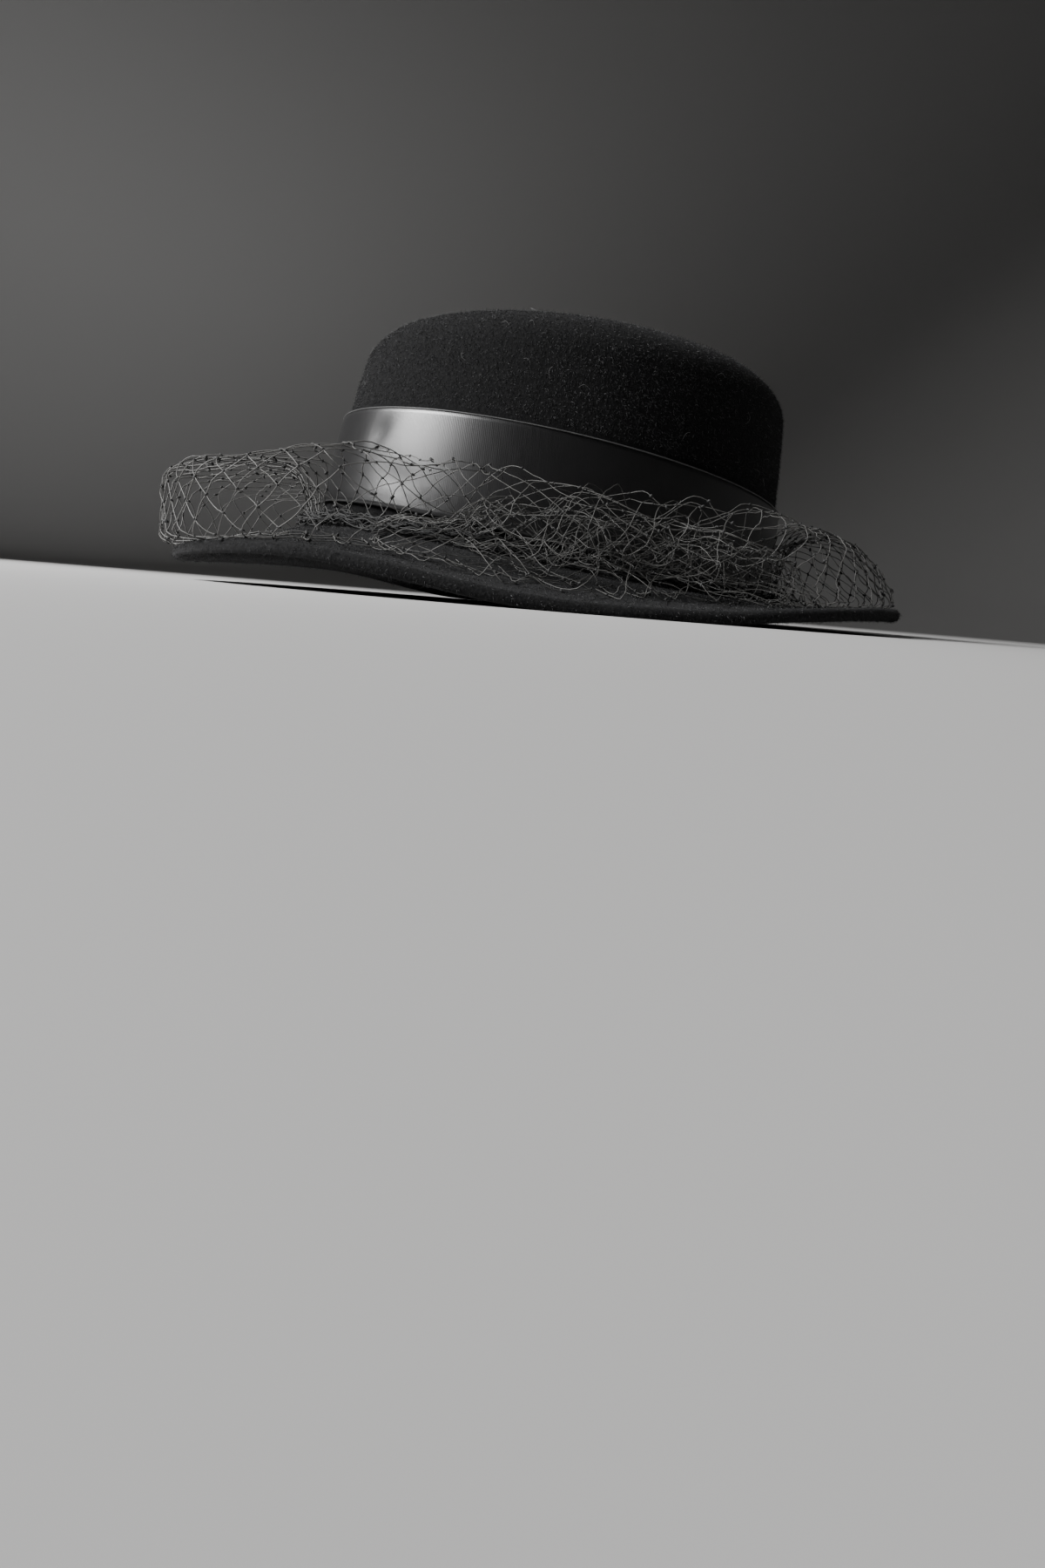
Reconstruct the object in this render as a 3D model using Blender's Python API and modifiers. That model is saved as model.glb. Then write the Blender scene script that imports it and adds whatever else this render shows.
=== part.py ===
"""A wool felt hat with a straight crown, a ribbon band, a wavy brim and a puffed net veil.

Metres, +Z up. The hat rests on its brim at z = 0, the middle of its box is over the
origin, the front of the hat faces -Y and the wearer's left is +X.
"""

import math

import bmesh
import bpy
from mathutils import Vector

# Head size: the inside of the crown at the break, where the brim starts
HEAD_ROUND = 0.570
LENGTH_TO_WIDTH = 1.2

# Crown: felt walls that taper to a rounded shoulder and a slightly domed top
FELT_WALL = 0.0025
CROWN_HEIGHT = 0.091
SHOULDER_OUT = 0.0205
SHOULDER_UP = 0.017
TOP_DOME = 0.004
TAPER_FRONT = math.radians(6.2)
TAPER_BACK = math.radians(7.4)
TAPER_SIDE = math.radians(2.5)
TOP_SLOPE = math.radians(3.4)

# The crown leans back on a brim that lies level
CROWN_LEAN = math.radians(6.8)
BREAK_HEIGHT = 0.0155

# Brim: one felt ring with a stand-up collar inside the crown and a thick round edge
BRIM_WIDTH = 0.051
BRIM_WALL = 0.003
EDGE_RADIUS = 0.0024
EDGE_LIFT = 0.0095
EDGE_PRESSED = 0.001
BRIM_DISH = 0.15
COLLAR_HEIGHT = 0.011
COLLAR_WALL = 0.0022

# Ribbon band round the crown, drawn tight at its foot
BAND_HEIGHT = 0.044
BAND_WALL = 0.001
BAND_PROUD = 0.0008
BAND_SLANT = math.radians(2.5)

# Net veil, gathered at the foot of the band and puffed over the brim
NET_RISE = 0.036
NET_STRAND = 0.0017
NET_START = 0.0042
NET_CELLS_ROUND = 20
NET_CELLS_ACROSS = 3

# Clearances between pieces that touch, and under the slanted foot of the ribbon
SEAM_GAP = 0.0003
BAND_GAP = 0.00036
BAND_FOOT_GAP = 0.0006
NET_GAP = 0.0005

# Round the brim from the front: how wide it is, and how far its edge lifts off the ground
BRIM_COLUMNS = ("turn_deg", "width_share", "lift_share")
BRIM_TABLE = (
    (0, 1.09, 0.72),
    (25, 1.07, 0.92),
    (48, 1.01, 1.00),
    (65, 0.95, 0.45),
    (79, 0.92, 0.00),
    (101, 0.92, 0.00),
    (115, 0.95, 0.30),
    (134, 1.01, 0.62),
    (158, 1.06, 0.68),
    (180, 1.08, 0.72),
)

# Round the net from the front: how far over the brim it reaches, how high it puffs,
# and how square its arch is
NET_COLUMNS = ("turn_deg", "reach_share", "rise_share", "square")
NET_TABLE = (
    (0, 1.06, 0.96, 0.50),
    (30, 1.00, 0.82, 0.55),
    (60, 0.72, 0.80, 0.70),
    (90, 0.80, 0.68, 0.85),
    (120, 0.86, 0.80, 0.90),
    (150, 0.93, 1.00, 0.80),
    (180, 0.95, 1.02, 0.75),
)

STEPS_ROUND = 72
SHOULDER_STEPS = 6
TOP_STEPS = 3
BRIM_STEPS = 5
EDGE_STEPS = 8
ARCH_STEPS = 48
SHARP_FROM = math.radians(35)
# A side of a diamond is longer than this many strand widths, and a knot's edge isn't
LONG_SIDE = 5
MERGE = 0.0001


def clear_scene():
    for old in list(bpy.data.objects):
        bpy.data.objects.remove(old, do_unlink=True)


def half_axes():
    """Half the width and half the length of the head's oval, from its way round."""
    width, length = 1.0, LENGTH_TO_WIDTH
    way_round = math.pi * (
        3 * (width + length) - math.sqrt((3 * width + length) * (width + 3 * length))
    )
    scale = HEAD_ROUND / way_round
    return width * scale, length * scale


HEAD_HALF_WIDTH, HEAD_HALF_LENGTH = half_axes()
HALF_WIDTH = HEAD_HALF_WIDTH + FELT_WALL
HALF_LENGTH = HEAD_HALF_LENGTH + FELT_WALL
ROUND_RADIUS = (HALF_WIDTH + HALF_LENGTH) / 2
NET_SEAT = NET_STRAND / 2 + NET_GAP


def table_value(table, columns, name, turn):
    """A column of a table at a turn from the front, smooth, and alike on both sides."""
    angle = abs(math.degrees(math.atan2(math.sin(turn), math.cos(turn))))
    place = columns.index(name)
    turns = [row[0] for row in table]
    values = [row[place] for row in table]
    after = next((i for i, t in enumerate(turns) if t > angle), len(turns) - 1)
    before = after - 1
    span = turns[after] - turns[before]
    share = (angle - turns[before]) / span

    def slope(index):
        if index in (0, len(turns) - 1):
            return 0.0
        rise = values[index + 1] - values[index - 1]
        return rise / (turns[index + 1] - turns[index - 1])

    # Hermite curve through the table's rows
    start, end = values[before], values[after]
    square, cube = share**2, share**3
    return (
        start * (2 * cube - 3 * square + 1)
        + end * (3 * square - 2 * cube)
        + slope(before) * span * (cube - 2 * square + share)
        + slope(after) * span * (cube - square)
    )


def brim_value(name, turn):
    return table_value(BRIM_TABLE, BRIM_COLUMNS, name, turn)


def net_value(name, turn):
    return table_value(NET_TABLE, NET_COLUMNS, name, turn)


def lean_back(x, y, height):
    """A point of the crown, level on its own base, turned back onto the level brim."""
    back = y * math.cos(CROWN_LEAN) + height * math.sin(CROWN_LEAN)
    up = BREAK_HEIGHT + height * math.cos(CROWN_LEAN) - y * math.sin(CROWN_LEAN)
    return Vector((x, back, up))


def crown_place(radius, turn, height):
    """Blocks a point of a round crown to the oval, tapered and leaning real one."""
    share = radius / ROUND_RADIUS
    toward_back = (1 - math.cos(turn)) / 2
    taper_end = TAPER_FRONT + (TAPER_BACK - TAPER_FRONT) * toward_back
    half_width = HALF_WIDTH - height * math.tan(TAPER_SIDE)
    half_length = HALF_LENGTH - height * math.tan(taper_end)
    x = share * half_width * math.sin(turn)
    y = -share * half_length * math.cos(turn)
    return lean_back(x, y, height * (1 + math.tan(TOP_SLOPE) * y / CROWN_HEIGHT))


def brim_place(out, turn, height):
    """A point out from the break line and up from the brim's top face."""
    foot = lean_back(HALF_WIDTH * math.sin(turn), -HALF_LENGTH * math.cos(turn), 0)
    outward = Vector((math.sin(turn) / HALF_WIDTH, -math.cos(turn) / HALF_LENGTH, 0))
    outward.normalize()
    flat = foot + outward * out * brim_value("width_share", turn)
    edge_top = (BRIM_WALL / 2 + EDGE_RADIUS) - EDGE_PRESSED
    lift = brim_value("lift_share", turn) * (EDGE_LIFT + EDGE_PRESSED)
    share = out / BRIM_WIDTH
    fall = share + BRIM_DISH * share * (1 - share)
    flat.z += (edge_top + lift - foot.z) * fall + height
    return flat


def felt_place(radius, turn, height):
    """The collar follows the crown, and the brim runs out from it to its wavy edge."""
    if radius <= ROUND_RADIUS:
        place = crown_place(radius, turn, height)
    else:
        place = brim_place(radius - ROUND_RADIUS, turn, height)
    # The felt is flattened where it rests
    place.z = max(place.z, 0.0)
    return place


def make_material(name, colour, roughness, sheen=0.0):
    material = bpy.data.materials.new(name)
    material.use_nodes = True
    shader = material.node_tree.nodes["Principled BSDF"]
    shader.inputs["Base Color"].default_value = (*colour, 1.0)
    shader.inputs["Roughness"].default_value = roughness
    shader.inputs["Metallic"].default_value = 0.0
    shader.inputs["Sheen Weight"].default_value = sheen
    material.diffuse_color = (*colour, 1.0)
    return material


def evaluated_mesh(source, name):
    """The mesh that an object's modifiers make, as one of its own."""
    bpy.context.view_layer.update()
    depsgraph = bpy.context.evaluated_depsgraph_get()
    mesh = bpy.data.meshes.new_from_object(source.evaluated_get(depsgraph))
    mesh.name = name
    return mesh


def turned(name, profile, collection):
    """Turns a profile of (radius, height) points, closed or from pole to pole, with Screw."""
    mesh = bpy.data.meshes.new(name)
    shape = bmesh.new()
    corners = [shape.verts.new((radius, 0, height)) for radius, height in profile]
    for start, end in zip(corners, corners[1:]):
        shape.edges.new((start, end))
    if min(radius for radius, height in profile) > MERGE:
        shape.edges.new((corners[-1], corners[0]))
    shape.to_mesh(mesh)
    shape.free()
    source = bpy.data.objects.new(name + "_profile", mesh)
    collection.objects.link(source)
    screw = source.modifiers.new("Turn", "SCREW")
    screw.steps = STEPS_ROUND
    screw.render_steps = STEPS_ROUND
    screw.use_merge_vertices = True
    screw.merge_threshold = MERGE
    round_mesh = evaluated_mesh(source, name)
    bpy.data.objects.remove(source, do_unlink=True)
    return round_mesh


def add_blocked(name, profile, place, material, collection):
    """A turned shape whose points are then moved to their place on the oval hat."""
    mesh = turned(name, profile, collection)
    shape = bmesh.new()
    shape.from_mesh(mesh)
    bmesh.ops.remove_doubles(shape, verts=shape.verts, dist=MERGE)
    for vert in shape.verts:
        turn = math.atan2(vert.co.x, -vert.co.y)
        vert.co = place(math.hypot(vert.co.x, vert.co.y), turn, vert.co.z)
    bmesh.ops.recalc_face_normals(shape, faces=shape.faces)
    shape.to_mesh(mesh)
    shape.free()
    mesh.shade_smooth()
    mesh.set_sharp_from_angle(angle=SHARP_FROM)
    mesh.materials.append(material)
    piece = bpy.data.objects.new(name, mesh)
    collection.objects.link(piece)
    return piece


def crown_side(inset, base, dome_from):
    """Half the crown's section, from its foot up over the shoulder to the middle."""
    radius = ROUND_RADIUS - inset
    out = SHOULDER_OUT - inset
    up = SHOULDER_UP - inset
    straight_top = CROWN_HEIGHT - SHOULDER_UP
    points = [(radius, base)]
    points += [(radius, base + (straight_top - base) * share) for share in (0.5, 1.0)]
    for step in range(1, SHOULDER_STEPS + 1):
        angle = math.pi / 2 * step / SHOULDER_STEPS
        points.append(
            (radius - out * (1 - math.cos(angle)), straight_top + up * math.sin(angle))
        )
    rim = radius - out
    for step in range(1, TOP_STEPS + 1):
        share = 1 - step / TOP_STEPS
        points.append((rim * share, dome_from + TOP_DOME * (1 - share**2)))
    return points


def add_crown(material, collection):
    outside = crown_side(0.0, SEAM_GAP, CROWN_HEIGHT)
    inside = crown_side(FELT_WALL, SEAM_GAP, CROWN_HEIGHT - FELT_WALL)
    # The section runs from the outer pole down, and back up inside to the inner pole
    profile = list(reversed(outside)) + inside
    return add_blocked("crown", profile, crown_place, material, collection)


def add_brim(material, collection):
    collar_out = ROUND_RADIUS - FELT_WALL - SEAM_GAP
    collar_in = collar_out - COLLAR_WALL
    edge_middle = ROUND_RADIUS + BRIM_WIDTH - EDGE_RADIUS
    # Where the round edge grows out of the thinner brim
    swell = math.asin(BRIM_WALL / 2 / EDGE_RADIUS)
    neck = edge_middle - EDGE_RADIUS * math.cos(swell)
    top = [(collar_in, COLLAR_HEIGHT), (collar_out, COLLAR_HEIGHT), (collar_out, 0.0)]
    for step in range(BRIM_STEPS + 1):
        top.append((ROUND_RADIUS + (neck - ROUND_RADIUS) * step / BRIM_STEPS, 0.0))
    edge = []
    for step in range(1, EDGE_STEPS):
        angle = (math.pi - swell) * (1 - 2 * step / EDGE_STEPS)
        edge.append(
            (
                edge_middle + EDGE_RADIUS * math.cos(angle),
                EDGE_RADIUS * math.sin(angle) - BRIM_WALL / 2,
            )
        )
    under = [(radius, -BRIM_WALL) for radius, height in reversed(top[3:])]
    # The inner corner under the collar is eased, as blocked felt is
    under.append((collar_in + BRIM_WALL, -BRIM_WALL))
    under.append((collar_in, 0.0))
    return add_blocked("brim", top + edge + under, felt_place, material, collection)


def band_place(radius, turn, height):
    """The ribbon goes round a little higher at the front than its foot line does."""
    slant = math.tan(BAND_SLANT) * HALF_LENGTH * math.cos(turn)
    return crown_place(radius, turn, height + slant)


def add_band(material, collection):
    # The slanted foot stays clear of the brim at the back
    foot = math.tan(BAND_SLANT) * HALF_LENGTH + BAND_FOOT_GAP
    inner = ROUND_RADIUS + BAND_GAP
    profile = [
        (inner + BAND_PROUD, BAND_HEIGHT),
        (inner + BAND_PROUD + BAND_WALL, BAND_HEIGHT),
        (inner + BAND_WALL, foot),
        (inner, foot),
    ]
    return add_blocked("ribbon_band", profile, band_place, material, collection)


def net_arch(turn):
    """The arch of the puff at a turn, as (out, height) points from its gathers to the brim."""
    reach = BRIM_WIDTH * net_value("reach_share", turn)
    rise = NET_RISE * net_value("rise_share", turn)
    square = net_value("square", turn)
    middle, half = (reach + NET_START) / 2, (reach - NET_START) / 2
    points = []
    for step in range(ARCH_STEPS + 1):
        across = -math.cos(math.pi * step / ARCH_STEPS)
        up = math.sin(math.pi * step / ARCH_STEPS)
        out = middle + half * math.copysign(abs(across) ** square, across)
        points.append(Vector((out, NET_SEAT + rise * max(up, 0.0) ** square)))
    return points


def net_place(turn, share, proud):
    """A point of the net at a share of its arch's length, and proud of its middle."""
    points = net_arch(turn)
    lengths = [(end - start).length for start, end in zip(points, points[1:])]
    left = share * sum(lengths)
    step = 0
    while step < ARCH_STEPS - 1 and left > lengths[step]:
        left -= lengths[step]
        step += 1
    run = (points[step + 1] - points[step]).normalized()
    place = points[step] + run * left
    # Square to the arch, so that a strand keeps its thickness
    return brim_place(place.x - run.y * proud, turn, place.y + run.x * proud)


def net_drum(collection):
    """Strands of a drum whose poked faces are joined to diamonds, as one closed mesh."""
    drum_radius = ROUND_RADIUS + BRIM_WIDTH / 2
    drum_height = math.pi / 2 * NET_RISE + BRIM_WIDTH / 2
    shape = bmesh.new()
    bmesh.ops.create_cone(
        shape,
        segments=NET_CELLS_ROUND,
        radius1=drum_radius,
        radius2=drum_radius,
        depth=drum_height,
        cap_ends=False,
    )
    upright = [e for e in shape.edges if e.calc_length() > drum_height - MERGE]
    bmesh.ops.subdivide_edges(shape, edges=upright, cuts=NET_CELLS_ACROSS - 1)
    drum_edges = set(shape.edges)
    bmesh.ops.poke(shape, faces=list(shape.faces))
    top = drum_height / 2 - MERGE
    # The outer rim stays a zigzag, and each inner edge was the short way across a diamond
    rim = [e for e in drum_edges if min(v.co.z for v in e.verts) > top]
    rim_faces = [edge.link_faces[0] for edge in rim]
    inner = [edge for edge in drum_edges if len(edge.link_faces) == 2]
    bmesh.ops.delete(shape, geom=rim_faces, context="FACES")
    bmesh.ops.dissolve_edges(shape, edges=inner, use_verts=False)
    for vert in shape.verts:
        vert.co.xy = vert.co.xy.normalized() * drum_radius
    mesh = bpy.data.meshes.new("net_drum")
    shape.to_mesh(mesh)
    shape.free()
    drum = bpy.data.objects.new("net_drum", mesh)
    collection.objects.link(drum)
    wire = drum.modifiers.new("Strands", "WIREFRAME")
    wire.thickness = NET_STRAND
    wire.use_boundary = True
    wire.use_replace = True
    strands = evaluated_mesh(drum, "net_veil")
    bpy.data.objects.remove(drum, do_unlink=True)
    return strands, drum_radius


def add_net(material, collection):
    """The net's strands, bent over the puff between the band's foot and the brim."""
    mesh, drum_radius = net_drum(collection)
    shape = bmesh.new()
    shape.from_mesh(mesh)
    # One more joint halfway along each side of a diamond, so that it can bend there
    along = [e for e in shape.edges if e.calc_length() > LONG_SIDE * NET_STRAND]
    bmesh.ops.subdivide_edges(shape, edges=along, cuts=1, use_grid_fill=True)
    lowest = min(vert.co.z for vert in shape.verts)
    highest = max(vert.co.z for vert in shape.verts)
    for vert in shape.verts:
        turn = math.atan2(vert.co.x, -vert.co.y)
        share = (vert.co.z - lowest) / (highest - lowest)
        vert.co = net_place(turn, share, vert.co.xy.length - drum_radius)
    # The drum's outside becomes the puff's, with its rim turned down to the brim
    bmesh.ops.reverse_faces(shape, faces=shape.faces)
    shape.to_mesh(mesh)
    shape.free()
    mesh.materials.clear()
    mesh.materials.append(material)
    piece = bpy.data.objects.new("net_veil", mesh)
    collection.objects.link(piece)
    return piece


def centre_over_origin(pieces):
    """Moves the whole hat along Y, so that its box is centred over the origin."""
    reach = [vert.co.y for piece in pieces for vert in piece.data.vertices]
    for piece in pieces:
        piece.location.y = -(min(reach) + max(reach)) / 2


def main():
    clear_scene()
    hat = bpy.data.collections.new("felt_hat")
    bpy.context.scene.collection.children.link(hat)
    felt = make_material("black_felt", (0.018, 0.018, 0.019), 0.95, sheen=0.4)
    brim_felt = make_material("black_felt_brim", (0.020, 0.020, 0.021), 0.95, sheen=0.4)
    ribbon = make_material("black_ribbon", (0.012, 0.012, 0.013), 0.38)
    net = make_material("black_net", (0.025, 0.025, 0.026), 0.6)
    pieces = [
        add_crown(felt, hat),
        add_brim(brim_felt, hat),
        add_band(ribbon, hat),
        add_net(net, hat),
    ]
    centre_over_origin(pieces)


main()
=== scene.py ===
"""Dresses a black felt hat: nap on the felt, a ribbed satin ribbon and a knotted net veil.

Metres, +Z up, the front of the hat faces -Y and the wearer's left is +X. A turn goes
round the hat from its front towards the wearer's left, in radians.
"""

import math
import random

import bmesh
import bpy
import numpy as np
from mathutils import Matrix, Vector, noise
from mathutils.bvhtree import BVHTree


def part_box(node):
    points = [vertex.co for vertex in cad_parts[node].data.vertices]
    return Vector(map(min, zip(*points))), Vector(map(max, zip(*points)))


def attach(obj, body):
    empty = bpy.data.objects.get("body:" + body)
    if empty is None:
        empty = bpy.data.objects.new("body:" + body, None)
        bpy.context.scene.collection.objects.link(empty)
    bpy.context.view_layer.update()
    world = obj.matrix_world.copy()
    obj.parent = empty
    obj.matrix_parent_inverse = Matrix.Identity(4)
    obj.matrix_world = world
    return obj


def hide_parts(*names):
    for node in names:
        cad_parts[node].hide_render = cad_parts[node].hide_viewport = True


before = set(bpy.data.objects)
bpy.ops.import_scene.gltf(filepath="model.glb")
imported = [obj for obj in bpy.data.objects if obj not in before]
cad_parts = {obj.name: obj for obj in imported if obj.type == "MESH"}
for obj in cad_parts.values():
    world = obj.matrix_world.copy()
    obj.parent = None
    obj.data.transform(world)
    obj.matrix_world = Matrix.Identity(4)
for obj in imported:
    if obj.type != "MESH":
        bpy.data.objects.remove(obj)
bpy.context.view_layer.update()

# noise_vector starts from the clock unless it is given a seed
NOISE_SEED = 8
noise.seed_set(NOISE_SEED)

# The photo's frame, in pixels
PHOTO_HEIGHT = 1800

# Camera: the photo's direction on the hat, from a place just above the floor that it rests on
CAMERA_TURN = math.radians(79.5)
CAMERA_DOWN = math.radians(5.76)
CAMERA_ROLL = math.radians(4.7)
CAMERA_PLACE = Vector((0.3589, -0.0697, 0.003))
FOCAL_PIXELS = 914
HAT_MOVED_UP = 120
SENSOR_SIZE = 36
CLIP_START = 0.001
CLIP_END = 20

# Studio
FLOOR_RADIUS = 1.7
SWEEP_RADIUS = 0.9
SWEEP_STEPS = 12
WALL_RADIUS = 2.6
WALL_HEIGHT = 3.2
STAGE_SIDES = 96
LIGHT_TARGET = Vector((0, 0, 0.06))
LIGHT_TALLER = 1.2
KEY_TURN = math.radians(12)
KEY_LIFT = math.radians(34)
KEY_DISTANCE = 1.05
KEY_SIZE = 0.36
KEY_SPREAD = math.radians(100)
KEY_WATTS = 7.4
FILL_TURN = math.radians(215)
FILL_LIFT = math.radians(42)
FILL_DISTANCE = 1.5
FILL_SIZE = 1.2
FILL_WATTS = 0.9
BACKDROP_TURN = math.radians(302)
BACKDROP_DISTANCE = 1.3
BACKDROP_WATTS = 6.2
BACKDROP_AIM_UP = 0.9
WORLD_LIGHT = 0.01

# How a CAD mesh is made ready for rounding off
SAME_POINT = 0.00001
FLAT_FELT = math.radians(40)
FLAT_RIBBON = math.radians(30)
SQUARE_ENOUGH = math.radians(60)
ROUNDING_LEVELS = 2

# Felt: its unevenness, and the height below which it stays flat where it rests
FELT_UNEVEN = 0.00022
FELT_UNEVEN_SIZE = 0.022
FELT_GRAIN = 0.00006
FELT_GRAIN_SIZE = 0.0022
FLAT_BELOW = 0.0012
CROWN_WOOL = {
    "dark": (0.003, 0.003, 0.0032),
    "light": (0.016, 0.016, 0.0165),
    "sheen": 0.04,
    "grain": 1300,
}
BRIM_WOOL = {
    "dark": (0.004, 0.004, 0.0042),
    "light": (0.022, 0.022, 0.0225),
    "sheen": 0.05,
    "grain": 1200,
}

# Nap: short hairs brushed downwards, each with its own lean in degrees off the felt
HAIR_THICK = 0.00012
HAIR_THICKNESSES = (0.7, 1.4)
HAIR_LENGTHS = (0.0007, 0.0022)
HAIR_USUAL = 1.4
HAIR_SPREAD = 0.75
HAIR_DOWN = 0.8
HAIR_LEANS = (4, 16, 75)
HAIR_SUNK = 0.00004
FEW_LIGHT_HAIRS = 2.4
HAIR_OFF_RIBBON = 0.0026
CROWN_HAIRS = 40000
BRIM_HAIRS = 33000

# Long stray hairs
STRAY_HAIRS = 60
STRAY_THICK = 0.00007
STRAY_LENGTHS = (0.0022, 0.0065)
STRAY_LIFTS = (0.0003, 0.0012)
STRAY_PARTS = 6
STRAY_BEND = 0.22

# Ribbon
SELVEDGE_THICK = 0.00048
RIB_PITCH = 0.00055
RIBBON_RIPPLE = 0.00022
RIPPLE_SIZE = 0.03
UPRIGHT_LENGTH = 0.01
RIBBON_CUTS = 4
EDGE_ANGLE = math.radians(50)
EDGE_CREASE = 0.8
DEGREE_LENGTH = 0.0016
DENT_COLUMNS = ("turn_deg", "height", "slant", "wide", "tall", "depth")
DENT_TABLE = (
    (37, 0.0600, -0.5, 0.0055, 0.0055, 0.0006),
    (46, 0.0420, 0.5, 0.0080, 0.0060, 0.0003),
    (-38, 0.0660, 0.4, 0.0070, 0.0070, 0.0005),
    (148, 0.0480, -0.4, 0.0080, 0.0070, 0.0005),
)

# Net thread and its mesh
THREAD = 0.00042
FOLDED_THINNER = 0.3
FOLDED_SMALLER = 0.3
# Painted shade: the tone that darkens the threads where the net has folded
FOLDED_PAINTED_SHADE = (0.68, 0.68, 0.67)
KNOT = 0.0016
KNOT_SHAPE = (1.5, 0.8, 0.6)
KNOT_SIZES = (0.7, 1.2)
CELLS_ROUND = 66
HALF_ROWS = 18
STEPS_A_SIDE = 4
SIDE_BOW = 0.0015
CLOSING_CELLS = 4
SLACK = 0.0036

# Where the net runs: where it starts out from the break line, how near it comes to it, how
# far it goes past the brim's edge, and how clear it stays of felt and ribbon
NET_START = 0.0036
NET_NEAREST = 0.0030
NET_PAST_EDGE = 0.0038
NET_CLEAR = 0.0006
NET_SEARCH = 0.004

# How far the net wanders: along its turn, in reach and in rise where it has fallen, and in
# wide and small waves
TURN_WANDER = 0.035
REACH_WANDER = 0.32
RISE_WANDER = 0.30
WIDE_WAVE = 0.026
SMALL_WAVE = 0.014
SMALL_WAVE_SHARE = 0.25
STANDING_WANDER = 0.35
SLANT_FROM = 0.4
AXIS_DISTANCE = 0.12
SECTIONS_A_RADIAN = 90

# Gathers along the crown's foot
GATHER_STRANDS = 18
GATHER_STEPS = 330
GATHER_THICKER = 1.1
GATHER_PITCH = 5.5
GATHER_OUT = 0.0052
GATHER_OUT_SWAY = 0.0046
GATHER_UP = 0.0024
GATHER_UP_SWAY = 0.0042
GATHER_LAYERS = 5

# How the brim's top is surveyed: in how many places, and how far in from its two edges
SURVEY_TURNS = 240
SURVEY_OUTS = 24
SURVEY_ABOVE = 0.3
SURVEY_FROM = 0.03
SURVEY_STEP = 0.0004
SURVEY_INSIDE = 0.0006
SURVEY_SHORTER = 0.0024


# Sizes and places read from the frame


def surface_of(*names):
    """A search tree over the meshes of CAD nodes."""
    points, faces = [], []
    for name in names:
        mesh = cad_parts[name].data
        start = len(points)
        points += [vert.co.copy() for vert in mesh.vertices]
        faces += [[start + i for i in face.vertices] for face in mesh.polygons]
    return BVHTree.FromPolygons(points, faces)


CROWN_LOW, CROWN_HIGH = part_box("crown")
HALF_WIDTH = (CROWN_HIGH.x - CROWN_LOW.x) / 2
HALF_LENGTH = (CROWN_HIGH.y - CROWN_LOW.y) / 2
OVAL_MIDDLE = (CROWN_HIGH.y + CROWN_LOW.y) / 2
BRIM_SURFACE = surface_of("brim")
RIBBON_SURFACE = surface_of("ribbon_band")
BODY_SURFACE = surface_of("crown", "ribbon_band")


def break_point(turn):
    """The point of the break line, where the crown meets the brim, seen from above."""
    return Vector((HALF_WIDTH * math.sin(turn), OVAL_MIDDLE - HALF_LENGTH * math.cos(turn), 0))


def outward(turn):
    """The level way straight out from the break line at a turn."""
    way = Vector((math.sin(turn) / HALF_WIDTH, -math.cos(turn) / HALF_LENGTH, 0))
    return way.normalized()


def turn_of(point):
    """The turn that a point is at, from -pi to pi."""
    return math.atan2(point[0] / HALF_WIDTH, (OVAL_MIDDLE - point[1]) / HALF_LENGTH)


def out_of(point):
    """How far out from the break line a point is, along the outward way at its turn."""
    turn = turn_of(point)
    return (Vector((point[0], point[1], 0)) - break_point(turn)).dot(outward(turn))


def survey_brim():
    """How wide the brim is at each turn, and how high its top face is out from the break."""
    above, down = Vector((0, 0, SURVEY_ABOVE)), Vector((0, 0, -1))
    widths = np.zeros(SURVEY_TURNS)
    heights = np.zeros((SURVEY_TURNS, SURVEY_OUTS))
    for i in range(SURVEY_TURNS):
        turn = 2 * math.pi * i / SURVEY_TURNS
        start, way = break_point(turn), outward(turn)
        out = SURVEY_FROM
        while BRIM_SURFACE.ray_cast(start + way * out + above, down)[0] is not None:
            out += SURVEY_STEP
        widths[i] = out
        for j in range(SURVEY_OUTS):
            reach = SURVEY_INSIDE + (out - SURVEY_SHORTER) * j / (SURVEY_OUTS - 1)
            hit = BRIM_SURFACE.ray_cast(start + way * reach + above, down)[0]
            heights[i, j] = hit.z
    return widths, heights


BRIM_WIDTHS, BRIM_HEIGHTS = survey_brim()


def survey_place(turn):
    """The two surveyed turns that a turn lies between, and its share of the way to the second."""
    place = (turn / (2 * math.pi) % 1.0) * SURVEY_TURNS
    i = int(place) % SURVEY_TURNS
    return i, (i + 1) % SURVEY_TURNS, place % 1.0


def brim_width(turn):
    """How wide the brim is at a turn."""
    i, k, share = survey_place(turn)
    return BRIM_WIDTHS[i] * (1 - share) + BRIM_WIDTHS[k] * share


def brim_top(turn, out):
    """The height of the brim's top face, and of its edge past that edge."""
    i, k, share = survey_place(turn)
    across = (out - SURVEY_INSIDE) / (brim_width(turn) - SURVEY_SHORTER) * (SURVEY_OUTS - 1)
    across = min(max(across, 0.0), SURVEY_OUTS - 1.001)
    j, part = int(across), across % 1.0
    near = BRIM_HEIGHTS[i, j] * (1 - part) + BRIM_HEIGHTS[i, j + 1] * part
    far = BRIM_HEIGHTS[k, j] * (1 - part) + BRIM_HEIGHTS[k, j + 1] * part
    return near * (1 - share) + far * share


def over_brim(turn, out, up):
    """A point so far out from the break line and so far up from the brim's top."""
    place = break_point(turn) + outward(turn) * out
    place.z = brim_top(turn, out) + up
    return place


# Materials


def new_material(name):
    """A material with its nodes, its links and its shader."""
    material = bpy.data.materials.new(name)
    material.use_nodes = True
    nodes = material.node_tree.nodes
    return material, nodes, material.node_tree.links, nodes["Principled BSDF"]


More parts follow.
